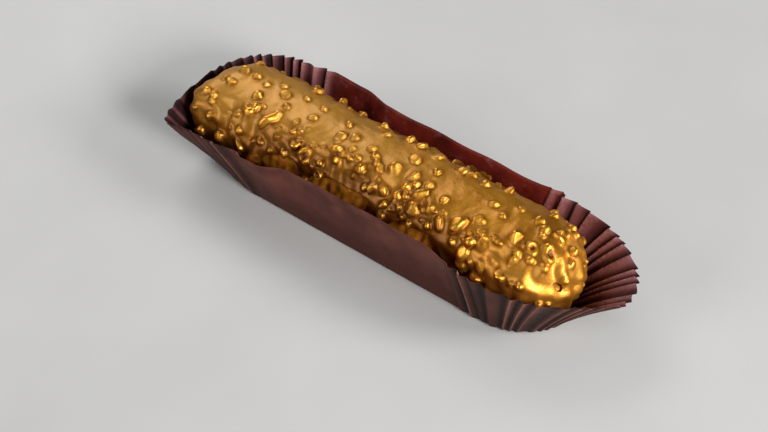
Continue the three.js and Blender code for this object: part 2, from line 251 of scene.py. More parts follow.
def wallPoint(part, t, rise, outward):  # outward is in millimetres, level, away from the eclair
    floorX, floorY = barPoint(part, t, caseShape["floor"])
    rimX, rimY = rimPoint(part, t)
    reach = np.hypot(rimX - floorX, rimY - floorY)
    height = np.sqrt(caseShape["slant"] ** 2 - reach**2)
    belly = np.where(part == leftEnd, caseShape["leftEndBelly"] * np.sin(np.pi * t), 0)
    lean = rise + (belly - caseShape["hollow"]) * np.sin(np.pi * rise)
    out = reach * lean + outward
    x = floorX + (rimX - floorX) / reach * out
    y = floorY + (rimY - floorY) / reach * out
    return np.stack([x, y, height * rise], -1)


def pleatWave(pleats):  # 1 on an outer fold, -1 on an inner one
    phase = pleats % 1
    quick, soft = caseShape["quickShare"], caseShape["pleatSoftness"]
    fold = 2 * np.where(phase < quick, phase / quick, (1 - phase) / (1 - quick)) - 1
    return fold * (1 - soft * fold**2) / (1 - soft)


def fadedEnds(t, share):  # 1 but for both ends of a side
    return smoothstep(0, share, t) * smoothstep(1, 1 - share, t)


def endPleats(part, t):
    pleats = caseShape["pleatsPerEnd"] * t
    stray, turning = caseShape["pleatStray"]
    stray = np.where(part == leftEnd, caseShape["leftStray"], stray)
    fold = pleatWave(pleats + stray * np.sin(turning * pleats + part))
    usual, change, turning, start = caseShape["pleatSizes"]
    size = usual + change * np.sin(turning * pleats + start + part)
    less, start, full, hold, end = caseShape["calmTip"]
    calm = less * smoothstep(start, full, t) * smoothstep(end, hold, t)
    size = size * np.where(part == leftEnd, 1 - calm, 1)
    return fold * size * fadedEnds(t, caseShape["endFade"])


def sidePleats(part, t, length):  # pleats run on a little way along the walls, and fade
    fold = np.zeros(len(t))
    fullShare, start = caseShape["sideFade"]
    for (side, end), reach in caseShape["sideReaches"].items():
        away = np.abs(t - end) * length
        turned = -away if end else away
        faded = smoothstep(reach, fullShare * reach, away) * smoothstep(0, start, away)
        fold = fold + np.where(part == side, pleatWave(turned / caseShape["sidePitch"]) * faded, 0)
    return fold


def pleatSide(part, t):
    rim = caseShape["rim"]
    length = rim["right"] - rim["left"] - rim["rightEnds"][0] - rim["leftEnds"][0]
    return np.where(isSide(part), sidePleats(part, t, length), endPleats(part, t))


def blurredAlong(values, reach=12):  # round the ring
    return sum(np.roll(values, k) for k in range(-reach, reach + 1)) / (2 * reach + 1)


def caseOffset():  # the frame's origin is the middle of the case's box
    sideSteps, depth = caseShape["plainOutline"]
    part, t = barStations(sideSteps, 2 * caseShape["pleatsPerEnd"])
    order = np.arange(len(t))
    side = np.where(isSide(part) | (t == 0), 0, np.where(order % 2, 1, -1))
    rim = wallPoint(part, t, 1.0, side * depth / 2)
    middle = (rim.min(0) + rim.max(0)) / 2
    return np.array([-middle[0], -middle[1], 0])


offset = caseOffset()


def buildCase():
    case = caseShape
    sideSteps = case["sideSteps"]
    endSteps = case["pleatsPerEnd"] * case["stepsPerPleat"]
    part, t = barStations(sideSteps, endSteps)
    count = len(t)
    fold = pleatSide(part, t)
    along = barPoint(part, t, case["floor"])[0]
    fade = np.where(isSide(part), fadedEnds(t, case["wallFade"]), 0)
    waves = case["buckleWaves"]
    buckles = sum(share * np.sin(along * turning + start * part) for share, turning, start in waves)
    place, depth, reach, start = case["crease"]
    crease = np.where(part == nearSide, depth * np.exp(-np.abs(t - place) / reach), 0)
    crease = crease * smoothstep(0, start, t)
    place, depth, gentle, steep = case["bigFold"]
    away = np.abs(t - place) / np.where(t < place, steep, gentle)
    bigFold = np.where(part == farSide, depth * np.exp(-away), 0)
    height, turning, start = case["rimUneven"]
    uneven = height * np.sin(turning * along + start * part) * fade
    most, start, full = case["leftInsideShade"]
    leftShade = most * smoothstep(start, full, along)
    slant, radius = case["slant"], case["foldRadius"]
    points, rises, ridges = [], [], []
    for inward in case["sheet"]:
        for row in range(case["rows"] + 1):
            rise = (row / case["rows"]) ** case["rowPower"]
            depth = mix(*case["pleatDepths"], rise) / 2
            bowed = case["buckle"] * math.sin(math.pi * rise ** case["bowPower"])
            outward = depth * fold + bowed * buckles * fade + crease * rise + bigFold * rise**2
            if rise < radius:
                outward = outward - slant * radius * (1 - math.sqrt(1 - (1 - rise / radius) ** 2))
            ring = wallPoint(part, t, rise, outward - inward)
            ring[:, 2] += uneven * rise**3
            if row == 0:
                ring[:, 2] += inward
            points.append(ring)
            rises += [rise] * count
            # the inner face's ridge mark is shifted at the left end, for painted shade
            ridges.append(fold if inward == case["sheet"][0] else -fold - leftShade)
    rows = case["rows"] + 1
    faces = ringStack(0, rows, count) + flipped(ringStack(rows * count, rows, count))
    faces += ringBand((rows - 1) * count, (2 * rows - 1) * count, count)
    faces += flipped(ladder(0, sideSteps, endSteps)) + ladder(rows * count, sideSteps, endSteps)
    piece = newPiece("paperCase", np.concatenate(points) + offset, faces)
    pleated = smoothstep(*case["pleatedFrom"], blurredAlong(np.abs(fold)))
    setAttributes(
        piece.data, rise=rises, ridge=np.concatenate(ridges),
        pleated=np.tile(np.where(isSide(part), pleated, 1), 2 * rows),
        dry=np.tile(1 - fade, 2 * rows) * smoothstep(*case["dryFrom"], np.array(rises)),
    )
    wall, rungs = count * (rows - 1), sideSteps + endSteps
    materialOf = [0] * wall + [1] * wall + [0] * (count + rungs) + [1] * rungs
    piece.data.polygons.foreach_set("material_index", materialOf)
    return piece


# Eclair

loafShape = {
    "left": -74.9, "right": 62, "halfWidth": 15.4, "middleY": 0.4,
    "top": 29.3, "bottom": 0.65,
    "leftEnd": 13, "rightEnd": 18,
    "sectionPower": 2.25,
    "leftPowers": (3.6, 2.1), "rightPowers": (2.3, 2.3),
    "leftLean": 0.28, "leftSkew": 0.27, "rightSkew": 0.19,
    "leftZone": (-50, -75), "rightZone": (30, 60),
    "press": 1.07, "underside": 166,
    "broadWave": (0.3, 0.11, 12), "shortWave": (0.2, 0.23, 17), "shortLean": 4,
    "twistWave": (0.15, 0.37), "twistTurns": 3, "waveRise": 0.5,
}

glazeShape = {                     # its edges are in degrees from the ridge
    "thickness": 1.5, "gap": 0.35,
    "near": {"edge": 65, "wave": (4, 0.19, 2), "drips": [(22, -29, 2.5), (18, 2, 4)]},
    "far": {"edge": 74, "wave": (4, 0.19, 10), "drips": [(20, -20, 5)]},
    "shortWave": (2, 0.47, 2),
    "endEdge": 112, "endWave": (4, 0.6, 0),
    "leftDrop": (-36, -54), "rightDrop": (15, 33),
}


def unevenness(x, angle):
    leaning = x + loafShape["shortLean"] * np.sin(angle)
    sideways = wave(loafShape["broadWave"], x) + wave(loafShape["shortWave"], leaning)
    height, turning = loafShape["twistWave"]
    return sideways * np.sin(angle) + height * np.sin(x * turning + loafShape["twistTurns"] * angle)


def loafPoint(part, t, angle, depth):  # angle 0 is the ridge; depth counts in from the glaze's plain surface
    loaf = loafShape
    power = 2 / loaf["sectionPower"]
    across = np.abs(np.sin(angle)) ** power
    up = np.sign(np.cos(angle)) * np.abs(np.cos(angle)) ** power
    middleZ = (loaf["top"] + loaf["bottom"]) / 2
    halfHeight = (loaf["top"] - loaf["bottom"]) / 2
    width = (loaf["halfWidth"] - depth) * across
    leftLength = (loaf["leftEnd"] - depth) * across
    rightLength = (loaf["rightEnd"] - depth) * across
    x, y = barPoint(part, t, {
        "left": loaf["left"] + loaf["leftEnd"] - leftLength,
        "right": loaf["right"] - loaf["rightEnd"] + rightLength,
        "halfWidths": (width, width),
        "leftEnds": (leftLength, leftLength), "rightEnds": (rightLength, rightLength),
        "leftPowers": loaf["leftPowers"], "rightPowers": loaf["rightPowers"],
    })
    z = np.where(up > 0, middleZ + (halfHeight - depth) * up, middleZ + halfHeight * loaf["press"] * up)
    atLeft = smoothstep(*loaf["leftZone"], x)
    atRight = smoothstep(*loaf["rightZone"], x)
    leftShift = loaf["leftSkew"] * y - loaf["leftLean"] * (z - middleZ)
    shift = atLeft * leftShift - atRight * loaf["rightSkew"] * y
    swell = unevenness(x, angle)
    spread = 1 + swell / loaf["halfWidth"]
    lowest = np.maximum(loaf["bottom"], z + loaf["waveRise"] * swell * up)
    return np.stack([x + shift, loaf["middleY"] + y * spread, lowest], -1)


def glazeEdge(part, t):
    glaze = glazeShape
    x = loafPoint(part, t, math.pi / 2, 0)[..., 0]

    def edgeOf(side):
        waves = wave(side["wave"], x) + wave(glaze["shortWave"], x)
        return side["edge"] + sum(bump(x, drip) for drip in side["drips"]) + waves

    sideEdge = np.where(np.asarray(part) == nearSide, edgeOf(glaze["near"]), edgeOf(glaze["far"]))
    endEdge = glaze["endEdge"] + wave(glaze["endWave"], x)
    towardsEnd = np.maximum(smoothstep(*glaze["leftDrop"], x), smoothstep(*glaze["rightDrop"], x))
    return np.radians(mix(sideEdge, endEdge, towardsEnd))


def glazeRing(part, t, share, depth=0):
    return loafPoint(part, t, glazeEdge(part, t) * share, depth)


def glazeOutward(part, t, share):
    return unit(glazeRing(part, t, share) - glazeRing(part, t, share, 1))


# Glaze

glazeSurface = {
    "steps": (170, 80), "rings": 46,
    "voxel": 0.3,
    "smoothing": {"factor": 0.5, "iterations": 8},
    "triangles": 190000,
    "broad": (0.13, 5, 9, 22),     # lumps of the poured glaze: height, seed, shortest and longest wave
    "lumpy": (0.48, 3, 3.6, 8), "lumpyFrom": (0.2, 0.5),    # rougher lower down
    "fine": (0.06, 5, 1.6, 3.5),
    "runs": {                      # drip ridges on the right end, round its middle, and where they show
        "height": 0.5, "count": 17, "middle": 44, "bend": (1.4, 0.2),
        "down": (0.3, 0.5), "along": (52, 58), "around": (-0.3, 0.1),
    },
    "lip": (0.05, 0.86, 0.96),     # the glaze gathers at its lower edge
    "skirt": (0.42, 1.6),          # the glaze draws up round each bit: height and reach, in its sizes
    "hidden": (0.9, 0.93),         # what lies this deep, down to this share, can't be seen
    "swells": [                    # part, place along, share down, reach, height
        (nearSide, 0.45, 0.72, 3.2, -1.2), (nearSide, 0.28, 0.7, 2.6, -1),
        (nearSide, 0.59, 0.49, 2.8, -0.8), (nearSide, 0.03, 0.37, 2.6, -0.7),
        (nearSide, 0.94, 0.49, 2.4, -0.8), (rightEnd, 0.01, 0.41, 3.6, -0.9),
        (nearSide, 0.5, 0.66, 3.6, 0.7), (nearSide, 0.2, 0.6, 3.5, 0.6),
        (nearSide, 0.75, 0.82, 3.5, -0.6), (nearSide, 0.62, 0.9, 3.5, 0.6),
        (rightEnd, 0.06, 0.62, 6, 1.8), (rightEnd, 0.34, 0.66, 5, -1.3),
    ],
}


def glazeRelief(share, points):  # how far the plain surface is moved outwards
    surface = glazeSurface
    x, y, z = points.T
    height, *waves = surface["lumpy"]
    moved = height * field(points, *waves) * smoothstep(*surface["lumpyFrom"], share)
    for height, *waves in (surface["broad"], surface["fine"]):
        moved = moved + height * field(points, *waves)
    runs = surface["runs"]
    around = np.arctan2(y, x - runs["middle"])
    bend, turning = runs["bend"]
    run = runs["height"] * np.sin(around * runs["count"] + bend * np.sin(z * turning))
    run = run * smoothstep(*runs["down"], share)
    moved = moved + run * smoothstep(*runs["along"], x) * smoothstep(*runs["around"], around)
    height, *lip = surface["lip"]
    moved = moved + height * smoothstep(*lip, share)
    for part, t, down, reach, rise in surface["swells"]:
        away = np.linalg.norm(points - glazeRing(part, t, down), axis=1)
        moved = moved + rise * np.exp(-((away / reach) ** 2))
    return moved


def skirts(points, spots):
    moved = np.zeros(len(points))
    height, reach = glazeSurface["skirt"]
    for spot in spots:
        away = np.linalg.norm(points - spot["point"], axis=1)
        lift = height * spot["size"] * np.exp(-((away / (reach * spot["size"])) ** 2))
        moved = np.maximum(moved, lift)
    return moved


# Chopped nuts

nutShape = {
    "height": 1.05, "sink": 0.9, "seed": 41,
    "coat": 0.32,                               # glaze over each bit
    "lumps": 0.16, "paperClearance": 0.4, "paperSteps": (60, 10), "largeSpacing": 0.5,
    "bits": {                                   # scattered ones, with the large ones counted in
        "count": 175, "sizes": (1.15, 0.75), "sizeSpread": (0.85, 1.15), "stretches": (0.75, 1.35),
        "band": (0.03, 0.95), "spacing": 0.95, "tries": 7000,
    },
    "crumbs": {
        "count": 130, "sizes": (0.6, 0.38), "stretches": (0.7, 1.5),
        "band": (0.05, 0.97), "spacing": 0.9, "seed": 7,
    },
    "clusters": (0.23, 5.3, 0.3),               # how crumbs gather: along, down, and how few lie elsewhere
    "parts": [(nearSide, 0.5), (farSide, 0.62), (rightEnd, 0.88), (leftEnd, 1)],
    "ridgeShare": (0.1, 0.45, 0.2),             # few lie near the ridge: bare until, full from, the least
    "upright": (0.35, 0.65),                    # long bits point up the slope, in half turns
    "tilt": 0.25,
    "heights": (0.8, 1.2),
    "large": {                                  # place along, share down, radius, stretch
        nearSide: [
            (0.58, 0.18, 2.1, 1.1), (0.83, 0.42, 2.3, 1.3), (0.88, 0.58, 2.1, 1.3), (0.64, 0.17, 1.9, 1.1),
            (0.69, 0.68, 1.9, 1), (0.93, 0.79, 1.9, 1), (0.99, 0.17, 1.9, 1), (0.14, 0.88, 2, 1),
            (0.08, 0.75, 1.9, 1.1), (0.15, 0.37, 1.7, 1.9), (0.69, 0.41, 1.7, 1.6), (0.49, 0.54, 1.6, 1),
            (0.94, 0.64, 1.6, 1.2), (0.02, 0.72, 1.5, 1), (0.39, 0.42, 1.5, 1.5), (0.89, 0.42, 1.5, 1),
            (0.88, 0.72, 1.4, 1), (0.26, 0.69, 1.3, 1), (0.37, 0.12, 1.3, 1.2), (0.41, 0.05, 1.3, 1),
            (0.64, 0.36, 1.2, 1), (0.05, 0.4, 1.3, 1), (0.08, 0.34, 1.3, 1.1), (0.78, 0.65, 1.3, 1.3),
            (0.09, 0.25, 1.3, 1), (0.07, 0.12, 1.3, 1), (0.26, 0.1, 1, 1), (0.24, 0.49, 0.9, 1),
            (0.43, 0.25, 1, 1), (0.48, 0.1, 1, 1.3), (0.55, 0.71, 1.3, 1.2), (0.65, 0.51, 1, 1),
            (0.72, 0.62, 1, 1), (0.87, 0.2, 1.1, 1.3), (0.9, 0.27, 1, 1), (0.92, 0.33, 1.1, 1.3),
            (0.96, 0.3, 1, 1), (0.92, 0.03, 1.1, 1.3), (0.54, 0.36, 1.2, 1.2),
        ],
        rightEnd: [
            (0, 0.56, 1.5, 1.1), (0.05, 0.63, 1, 1), (0.09, 0.59, 1, 1), (0.15, 0.32, 1.1, 1),
            (0.25, 0.41, 1.1, 1), (0.85, 0.1, 1.3, 1), (0.61, 0.13, 1.3, 1), (0.56, 0.28, 1.2, 1.7),
            (0.79, 0.46, 1.2, 1), (0.59, 0.76, 1.4, 1), (0.19, 0.78, 1.3, 1), (0.26, 0.88, 1.2, 1),
        ],
        farSide: [
            (0.36, 0.39, 1.6, 1), (0.12, 0.02, 1, 1.3), (0.05, 0.12, 1, 1), (0.43, 0.42, 1.5, 1.4),
            (0.47, 0.44, 1.3, 1.3), (0.4, 0.07, 1.4, 1.1), (0.32, 0.07, 1, 1), (0.53, 0.25, 1, 1),
            (0.64, 0.08, 1, 1), (0.74, 0.1, 0.9, 1), (0.82, 0.45, 1.3, 1.3), (0.81, 0.13, 1, 1),
            (0.87, 0.02, 1.3, 1), (0.9, 0.11, 1, 1), (0.94, 0.02, 1, 1), (0.98, 0.05, 1.2, 1),
            (0.27, 0.36, 1.5, 1.4), (0.19, 0.25, 1.2, 1),
        ],
        leftEnd: [
            (0.24, 0.06, 1.7, 1), (0.95, 0.77, 1.6, 1), (0.99, 0.61, 1.3, 1.2), (0.95, 0.32, 0.9, 1),
            (0.98, 0.42, 1.1, 1),
        ],
    },
    "hollow": {                                 # broken bits with a hollow in them
        nearSide: [(0.31, 0.58, 2.1, 1.1), (0.64, 0.71, 2, 1), (0.37, 0.95, 1.5, 1.1)],
        rightEnd: [(0.36, 0.3, 2.1, 1.3), (0.18, 0.21, 1.4, 1.2)],
    },
    "bare": [(rightEnd, 0.2, 0.58, 6.5)],       # no small bits near these places: reach in millimetres
    "hollowDepth": 0.95, "hollowReach": 0.55,
    "brownInside": (0.75, 0.4), "brownReach": 2,    # of a hollow, in its bit's sizes
    "facets": 11, "facetDepths": (0.68, 1.02), "facetSharpness": 12, "facing": 0.05, "roundest": 1.12,
}


def nutSpot(part, t, share, size, stretch, turn, hollow=0):
    point = glazeRing(part, t, share)
    outward = glazeOutward(part, t, share)
    raised = point + outward * glazeRelief(np.array([share]), point[None])[0]
    return {
        "point": raised, "outward": outward,
        "size": size, "stretch": stretch, "turn": turn, "hollow": hollow,
    }


def nutSpots():
    nut = nutShape
    steps, rises = nut["paperSteps"]
    part, t = barStations(steps, steps)
    paper = np.concatenate([wallPoint(part, t, rise / rises, 0) for rise in range(rises + 1)])
    bare = [(glazeRing(side, t, share), reach) for side, t, share, reach in nut["bare"]]
    bareUntil, full, least = nut["ridgeShare"]
    along, down, elsewhere = nut["clusters"]
    spots = []

    def place(spot, spacing):
        reach = spot["size"] * (1 + nut["lumps"]) * max(spot["stretch"], 1)
        if spots:
            centres = np.array([other["point"] for other in spots])
            sizes = np.array([other["size"] for other in spots])
            apart = np.linalg.norm(centres - spot["point"], axis=1)
            if not (apart > spacing * (sizes + spot["size"])).all():
                return
        if np.linalg.norm(paper - spot["point"], axis=1).min() > reach + nut["paperClearance"]:
            spots.append(spot)

    def offRidge(side, share, x):
        return least + (1 - least) * smoothstep(bareUntil, full, share)

    def clustered(side, share, x):
        gather = 0.5 + 0.5 * math.sin(x * along + down * share) * math.sin(down * share + side)
        return max(gather, elsewhere) * smoothstep(0, full, share)

    def scatter(draw, size, bits, wanted):
        sideDraw = draw()
        side = next(side for side, limit in nut["parts"] if sideDraw < limit)
        t, share, stretch = draw(), mix(*bits["band"], draw()), mix(*bits["stretches"], draw())
        spot = nutSpot(side, t, share, size, stretch, draw() * math.pi)
        isBare = any(np.linalg.norm(spot["point"] - middle) < reach for middle, reach in bare)
        if draw() < wanted(side, share, spot["point"][0]) and not isBare:
            place(spot, bits["spacing"])

    draw = seededDraws(nut["seed"])
    for kind in ("hollow", "large"):
        for side, entries in nut[kind].items():
            for t, share, size, stretch in entries:
                turn = mix(*nut["upright"], draw()) * math.pi
                place(nutSpot(side, t, share, size, stretch, turn, kind == "hollow"), nut["largeSpacing"])
    bits, placed = nut["bits"], len(spots)
    for _ in range(bits["tries"]):
        if len(spots) == bits["count"]:
            break
        grown = (len(spots) - placed) / (bits["count"] - placed)
        scatter(draw, mix(*bits["sizes"], grown) * mix(*bits["sizeSpread"], draw()), bits, offRidge)
    crumbs = nut["crumbs"]
    draw = np.random.RandomState(crumbs["seed"]).rand
    for k in range(crumbs["count"]):
        scatter(draw, mix(*crumbs["sizes"], k / crumbs["count"]), crumbs, clustered)
    return spots


def pebbleMesh():
    ball = bmesh.new()
    bmesh.ops.create_icosphere(ball, subdivisions=4, radius=1)
    points = np.array([v.co for v in ball.verts])
    faces = np.array([[v.index for v in face.verts] for face in ball.faces])
    ball.free()
    return points, faces


def nutPoints(spot, directions, random):  # a chopped bit: the ball cut by random planes, its edges soft
    nut = nutShape
    normals = unit(random.normal(size=(nut["facets"], 3)))
    depths = random.uniform(*nut["facetDepths"], nut["facets"])
    facing = np.maximum(directions @ normals.T, nut["facing"])
    sharp = nut["facetSharpness"]
    radius = ((facing / depths) ** sharp).sum(1) ** (-1 / sharp)
    local = directions * np.minimum(radius, nut["roundest"])[:, None]
    outward = unit(spot["outward"] + random.normal(size=3) * nut["tilt"] * (1 - spot["hollow"]))
    along = unit(np.cross([0, 0, 1], outward))
    along = along * math.cos(spot["turn"]) + np.cross(outward, along) * math.sin(spot["turn"])
    across = np.cross(outward, along)
    size, stretch = spot["size"] + nut["coat"], spot["stretch"]
    fromMiddle = (local[:, :1] ** 2 + local[:, 1:2] ** 2) / nut["hollowReach"] ** 2
    dented = 1 - spot["hollow"] * nut["hollowDepth"] * np.exp(-fromMiddle)
    height = nut["height"] * random.uniform(*nut["heights"]) * dented
    a = local[:, :1] * size * stretch
    b = local[:, 1:2] * size / math.sqrt(stretch)
    c = np.where(local[:, 2:] > 0, local[:, 2:] * size * height, local[:, 2:] * nut["sink"])
    return spot["point"] + a * along + b * across + c * outward


def buildGlazeShell(spots):
    steps, rings = glazeSurface["steps"], glazeSurface["rings"]
    part, t = barStations(*steps)
    count = len(t)
    points, shareOf = [], []
    for depth in (0, glazeShape["thickness"]):
        for k in range(rings):
            share = 1 - k / rings
            ring = glazeRing(part, t, share, depth)
            if depth == 0:
                outward = glazeOutward(part, t, share)
                relief = glazeRelief(share, ring)
                raised = ring + outward * relief[:, None]
                ring = ring + outward * (relief + skirts(raised, spots))[:, None]
            points.append(ring)
            shareOf += [share] * count
    inner = rings * count
    faces = ringStack(0, rings, count) + flipped(ringStack(inner, rings, count))
    faces += ringBand(inner, 0, count) + ladder((rings - 1) * count, *steps)
    faces += flipped(ladder(inner + (rings - 1) * count, *steps))
    return np.concatenate(points), faces, np.array(shareOf)


def applied(piece, modifiers):  # each modifier is its kind and its settings
    for kind, settings in modifiers:
        modifier = piece.modifiers.new(kind, kind)
        for key, value in settings.items():
            setattr(modifier, key, value)
    old = piece.data
    shown = piece.evaluated_get(bpy.context.evaluated_depsgraph_get())
    piece.data = bpy.data.meshes.new_from_object(shown)
    piece.modifiers.clear()
    bpy.data.meshes.remove(old)
    piece.data.name = piece.name
    return piece.data


def fused(piece):
    remesh = {"mode": "VOXEL", "voxel_size": glazeSurface["voxel"] * mm}
    return applied(piece, [("REMESH", remesh), ("SMOOTH", glazeSurface["smoothing"])])


def withFewerFaces(piece):
    faces = sum(len(face.vertices) - 2 for face in piece.data.polygons)
    return applied(piece, [("DECIMATE", {"ratio": min(1, glazeSurface["triangles"] / faces)})])


def deleteInside(mesh, tree, shareOf):  # what faces the bun can't be seen
    depth, lipShare = glazeSurface["hidden"]
    points = coordinates(mesh)
    doomed = np.zeros(len(points), bool)
    heights, shares = np.zeros(len(points)), np.zeros(len(points))
    for i, point in enumerate(points):
        location, normal, index, _ = tree.find_nearest(point)
        heights[i] = (Vector(point) - location).dot(normal) / mm
        shares[i] = shareOf[index]
        doomed[i] = heights[i] < -depth and shares[i] < lipShare
    work = bmesh.new()
    work.from_mesh(mesh)
    bmesh.ops.delete(work, geom=[v for v in work.verts if doomed[v.index]], context="VERTS")
    work.to_mesh(mesh)
    work.free()
    return heights[~doomed], shares[~doomed]


def blurred(mesh, values, rounds, kept=0.4):  # averages over the neighbours along edges
    edges = np.empty(len(mesh.edges) * 2, int)
    mesh.edges.foreach_get("vertices", edges)
    a, b = edges.reshape(-1, 2).T
    count = np.bincount(a, minlength=len(values)) + np.bincount(b, minlength=len(values))
    for _ in range(rounds):
        total = np.bincount(a, values[b], len(values)) + np.bincount(b, values[a], len(values))
        values = kept * values + (1 - kept) * total / np.maximum(count, 1)
    return values


def insideHollows(points, spots):  # 1 at the middle of a broken bit's hollow
    inside = np.zeros(len(points))
    for spot in spots:
        if spot["hollow"]:
            away = points - spot["point"]
            level = away - np.outer(away @ spot["outward"], spot["outward"])
            aside = np.linalg.norm(level, axis=1) / spot["size"]
            nearBy = np.linalg.norm(away, axis=1) < nutShape["brownReach"] * spot["size"]
            inside = np.maximum(inside, smoothstep(*nutShape["brownInside"], aside) * nearBy)
    return inside


glazeMarks = {                     # where the gold changes, by the share of the way down and along x
    # painted shade: darker brown lower down the sides, left of the right end
    "thinned": ((0.3, 0.85), (42, 25)),
    # painted light: the right end, below its top, is a brighter gold, where the light from the right falls
    "lustrous": ((0.25, 0.5), (25, 50)),
    # dust on the gold and painted sheen: paler tan on the top and towards the left
    "dusty": ((0.75, 0.25), (50, -30)),
    "between": (60, 3),            # rounds of averaging of the height, whose difference shows what lies low, painted as shade
    # painted shade in small hollows next to the bits
    "crevice": (11, 1),
    "level": (0.07, 0),
}


def markGlaze(mesh, heights, shares, spots):
    place = coordinates(mesh) / mm

    def zone(name):
        down, along = glazeMarks[name]
        return smoothstep(*down, shares) * smoothstep(*along, place[:, 0])

    def lowness(name):
        wide, close = (blurred(mesh, heights, rounds) for rounds in glazeMarks[name])
        return wide - close

    crevice = lowness("crevice")
    # marks of painted shade low down, between the bits and in hollows; of painted light on the right end;
    # and of dust with painted sheen, kept out of hollows
    setAttributes(
        mesh, standsOut=heights, thinned=zone("thinned"), lustrous=zone("lustrous"),
        between=lowness("between"), bitten=insideHollows(place - offset, spots), crevice=crevice,
        dusty=zone("dusty") * smoothstep(*glazeMarks["level"], crevice),
    )


def buildGlaze():
    spots = nutSpots()
    shellPoints, shellFaces, shareOf = buildGlazeShell(spots)
    outerCount = len(shellPoints) // 2
    outerFaces = [face for face in shellFaces if max(face) < outerCount]
    located = ((shellPoints[:outerCount] + offset) * mm).tolist()
    tree = BVHTree.FromPolygons(located, outerFaces)
    faceShares = np.array([shareOf[face[0]] for face in outerFaces])
    directions, pebbleFaces = pebbleMesh()
    points, faces = [shellPoints], list(shellFaces)
    first = len(shellPoints)
    random = np.random.RandomState(nutShape["seed"])
    for spot in spots:
        points.append(nutPoints(spot, directions, random))
        faces += (pebbleFaces + first).tolist()
        first += len(directions)
    piece = newPiece("nutGlaze", np.concatenate(points) + offset, faces)
    mesh = fused(piece)
    heights, shares = deleteInside(mesh, tree, faceShares)
    markGlaze(mesh, heights, shares, spots)
    mesh = withFewerFaces(piece)
    mesh.shade_smooth()
    print("glaze:", len(spots), "nuts and crumbs,", len(mesh.polygons), "faces")
    return piece


# Bun

bunSurface = {
    "steps": (200, 80), "rings": 70,
    "topShare": 0.7,               # the hidden top stops a little above the glaze's edge
    "ribs": (0.04, 1.9),           # fine ribs of the piped dough: height and turning, then how they bend
    "ribBend": (0.8, 0.9),
    "blisters": (0.3, 8, 2.5, 7),
    "roughFrom": (1.15, 6),        # the underside is smooth
}


def bunRelief(points):
    bun = bunSurface
    x, _, z = points.T
    height, turning = bun["ribs"]
    bend, bendTurning = bun["ribBend"]
    ribs = height * np.sin(x * turning + bend * np.sin(z * bendTurning))
    height, *waves = bun["blisters"]
    return (ribs + height * field(points, *waves)) * smoothstep(*bun["roughFrom"], z)


def buildBun():
    steps, rings = bunSurface["steps"], bunSurface["rings"]
    part, t = barStations(*steps)
    count = len(t)
    depth = glazeShape["thickness"] + glazeShape["gap"]
    top = glazeEdge(part, t) * bunSurface["topShare"]
    underside = math.radians(loafShape["underside"])
    points = []
    for k in range(rings + 1):
        angle = mix(underside, top, k / rings)
        ring = loafPoint(part, t, angle, depth)
        outward = unit(ring - loafPoint(part, t, angle, depth + 1))
        points.append(ring + outward * bunRelief(ring)[:, None])
    faces = flipped(ladder(0, *steps)) + ringStack(0, rings + 1, count) + ladder(rings * count, *steps)
    return newPiece("chouxBun", np.concatenate(points) + offset, faces)


# Materials


def newMaterial(name):
    material = bpy.data.materials.new(name)
    material.use_nodes = True
    tree = material.node_tree
    tree.nodes.clear()
    output = tree.nodes.new("ShaderNodeOutputMaterial")
    shader = tree.nodes.new("ShaderNodeBsdfPrincipled")
    tree.links.new(shader.outputs["BSDF"], output.inputs["Surface"])
    return material, tree, shader


def setInputs(tree, node, inputs):  # each is a plain value, or another node's socket
    for key, value in inputs.items():
        if isinstance(value, bpy.types.NodeSocket):
            tree.links.new(value, node.inputs[key])
        else:
            node.inputs[key].default_value = value


def addNode(tree, kind, settings, inputs):
    node = tree.nodes.new("ShaderNode" + kind)
    for key, value in settings.items():
        setattr(node, key, value)
    setInputs(tree, node, inputs)
    return node


def calculated(tree, operation, first, second):
    return addNode(tree, "Math", {"operation": operation}, {0: first, 1: second}).outputs[0]


def attributeValue(tree, name):
    return addNode(tree, "Attribute", {"attribute_name": name}, {}).outputs["Fac"]


def linear(red, green, blue):  # a colour as the eye names it, 0 to 255, for the shader
    return [*Color((red / 255, green / 255, blue / 255)).from_srgb_to_scene_linear(), 1]


def colorRamp(tree, factor, stops):
    ramp = addNode(tree, "ValToRGB", {}, {"Fac": factor})
    elements = ramp.color_ramp.elements
    while len(elements) < len(stops):
        elements.new(0.5)
    for element, (position, color) in zip(elements, stops):
        element.position = position
        element.color = linear(*color)
    return ramp.outputs["Color"]


def mixColor(tree, factor, first, second):  # the second is a colour as the eye names it, or a socket
    if isinstance(second, tuple):
        second = linear(*second)
    node = addNode(tree, "Mix", {"data_type": "RGBA"}, {0: factor, 6: first, 7: second})
    return node.outputs[2]


def mapRange(tree, value, fromLow, fromHigh, toLow=0, toHigh=1):
    inputs = dict(enumerate((value, fromLow, fromHigh, toLow, toHigh)))
    return addNode(tree, "MapRange", {}, inputs).outputs[0]


mottleParts = [("Patches", "Patch Size", 6, 3), ("Grain", "Grain Size", 0.5, 4)]  # usual size and detail


def makeSoftMottle():  # soft patches and fine grain over the surface, from 0 to 1
    group = bpy.data.node_groups.new("softMottle", "ShaderNodeTree")
    for name, sizeName, size, _ in mottleParts:
        group.interface.new_socket(name, in_out="OUTPUT", socket_type="NodeSocketFloat")
        socket = group.interface.new_socket(sizeName, in_out="INPUT", socket_type="NodeSocketFloat")
        socket.default_value = size
    inputs = group.nodes.new("NodeGroupInput")
    outputs = group.nodes.new("NodeGroupOutput")
    place = addNode(group, "TexCoord", {}, {}).outputs["Object"]
    for name, sizeName, _, detail in mottleParts:
        scale = calculated(group, "DIVIDE", 1 / mm, inputs.outputs[sizeName])
        noise = addNode(group, "TexNoise", {}, {"Vector": place, "Scale": scale, "Detail": detail})
        group.links.new(noise.outputs["Fac"], outputs.inputs[name])
    return group


softMottle = makeSoftMottle()


